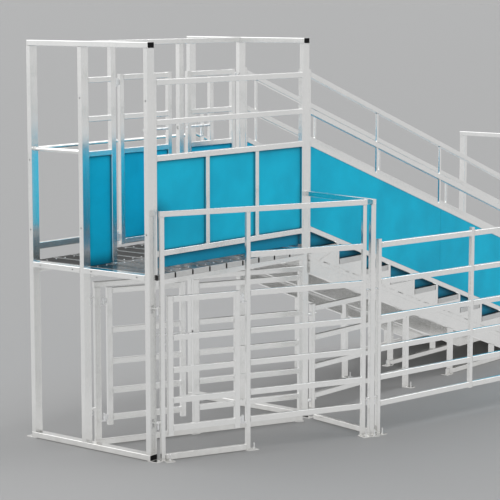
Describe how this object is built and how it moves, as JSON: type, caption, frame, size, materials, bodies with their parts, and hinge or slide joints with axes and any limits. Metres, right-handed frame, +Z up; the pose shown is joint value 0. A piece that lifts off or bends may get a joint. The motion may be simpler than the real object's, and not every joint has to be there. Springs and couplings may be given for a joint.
{
  "type": "livestock loading ramp",
  "caption": "Two-level cattle loading ramp: a stepped ramp with panelled walls climbs to a deck, and a skewed race with gates runs below it.",
  "frame": {"origin": "on the ground, in the middle of the four anchor holes under the two portals of the deck", "axes": "+X from the truck face towards the foot of the ramp, +Y from the race's side towards the operator's walkway, +Z up"},
  "size_m": [7.47, 2.9958, 3.66],
  "materials": {
    "steel_white": "pale grey powder coat over galvanised steel tube",
    "sheet_blue": "blue textured plastic sheet",
    "plank_grey": "grey ribbed recycled plastic plank",
    "plug_black": "moulded black plastic",
    "zinc": "zinc plated"
  },
  "bodies": {
    "base": {"truck_portal": "steel_white", "truck_deck_beams": "steel_white", "head_portal": "steel_white", "head_deck_beams": "steel_white", "tie_beam": "steel_white", "inner_posts": "steel_white", "beam_plugs": "plug_black", "deck_beams": "steel_white", "deck_planks": "plank_grey", "near_wall_frame": "steel_white", "near_wall_panels": "sheet_blue", "near_wall_kick": "sheet_blue", "inner_bay_frame": "steel_white", "inner_bay_panels": "sheet_blue", "walkway_guard": "steel_white", "safety_bar": "steel_white", "ramp_stringers": "steel_white", "ramp_cheeks": "steel_white", "ramp_treads": "plank_grey", "ramp_risers": "steel_white", "ramp_legs": "steel_white", "ramp_sills": "steel_white", "ramp_near_frame": "steel_white", "ramp_near_panels": "sheet_blue", "ramp_near_kick": "sheet_blue", "ramp_inner_frame": "steel_white", "ramp_inner_panels": "sheet_blue", "ramp_inner_kick": "sheet_blue", "ramp_hand_rail": "steel_white", "foot_portal": "steel_white", "race_inner_frame": "steel_white", "race_hurdle": "steel_white", "race_front_frame": "steel_white", "race_front_rails": "steel_white", "entry_frame": "steel_white", "wing_fence": "steel_white", "foot_plates": "steel_white", "anchor_studs": "zinc", "connector_lugs": "steel_white", "connector_pins": "zinc", "hinge_brackets": "zinc"},
    "gate_a": {"gate_a_frame": "steel_white", "gate_a_panel": "sheet_blue", "gate_a_sleeves": "zinc"},
    "slide_bolt_a": {"bolt_a": "zinc"},
    "gate_b": {"gate_b_frame": "steel_white", "gate_b_panel": "sheet_blue", "gate_b_sleeves": "zinc"},
    "slide_bolt_b": {"bolt_b": "zinc"},
    "race_gate": {"race_gate_frame": "steel_white", "race_gate_sleeves": "zinc"},
    "slide_bolt_c": {"bolt_c": "zinc"},
    "man_gate": {"man_gate_frame": "steel_white", "man_gate_sleeves": "zinc"}
  },
  "joints": [
    {"name": "gate_a_hinge", "type": "hinge", "parent": "base", "child": "gate_a", "pos_m": [-0.6755, 0.0715, 2.58], "axis": [0, 0, 1], "range_deg": [-90, 0]},
    {"name": "gate_b_hinge", "type": "hinge", "parent": "base", "child": "gate_b", "pos_m": [1.0305, 0.0715, 2.58], "axis": [0, 0, 1], "range_deg": [0, 90]},
    {"name": "race_gate_hinge", "type": "hinge", "parent": "base", "child": "race_gate", "pos_m": [-0.93627, 0.01698, 0.8], "axis": [0, 0, 1], "range_deg": [0, 90]},
    {"name": "man_gate_hinge", "type": "hinge", "parent": "base", "child": "man_gate", "pos_m": [-0.32667, -1.10477, 0.8], "axis": [0, 0, 1], "range_deg": [0, 100]},
    {"name": "bolt_a_slide", "type": "slide", "parent": "gate_a", "child": "slide_bolt_a", "axis": [1, 0, 0], "range_m": [0, 0.131]},
    {"name": "bolt_b_slide", "type": "slide", "parent": "gate_b", "child": "slide_bolt_b", "axis": [-1, 0, 0], "range_m": [0, 0.091]},
    {"name": "bolt_c_slide", "type": "slide", "parent": "race_gate", "child": "slide_bolt_c", "axis": [0.9143, -0.4051, 0], "range_m": [0, 0.104]}
  ]
}
